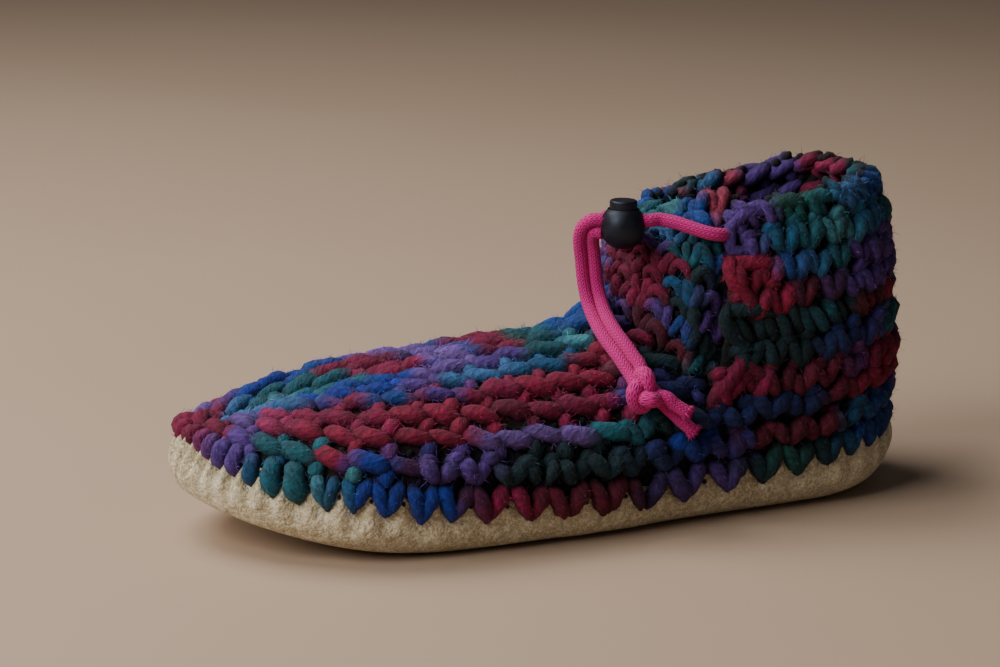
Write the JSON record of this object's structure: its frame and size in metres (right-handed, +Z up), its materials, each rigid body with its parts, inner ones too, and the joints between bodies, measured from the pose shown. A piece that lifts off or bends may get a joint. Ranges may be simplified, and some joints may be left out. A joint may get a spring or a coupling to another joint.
{
  "type": "crocheted slipper bootie",
  "caption": "Ankle-high crocheted wool slipper bootie for the left foot on a soft suede sole, with a drawcord and a ball cord lock at the ankle.",
  "frame": {"origin": "on the floor under the middle of the shoe, at the centre of its bounding box without the free cord", "axes": "+Z up, -Y towards the toe, +Y towards the heel, +X towards the outer side of the left foot"},
  "size_m": [0.1037, 0.255, 0.1098],
  "materials": {
    "suede": "napped suede",
    "fleece": "soft pile",
    "wool": "hand-dyed bulky yarn, crocheted",
    "cord": "braided cotton",
    "lock": "satin black plastic"
  },
  "bodies": {
    "slipper": {"sole": "suede", "fleece_insole": "fleece", "upper": "wool", "tongue": "wool", "drawcord_crossing": "cord", "drawcord_strand_1": "cord", "drawcord_strand_2": "cord", "drawcord_knot": "cord", "drawcord_tail_1": "cord", "drawcord_tail_2": "cord", "cord_lock_body": "lock"},
    "button": {"cord_lock_button": "lock"}
  },
  "joints": [
    {"name": "button_push", "type": "slide", "parent": "slipper", "child": "button", "axis": [0, 0, -1], "range_m": [0, 0.0026], "stiffness_N_per_m": 400, "springref_m": -0.001}
  ]
}
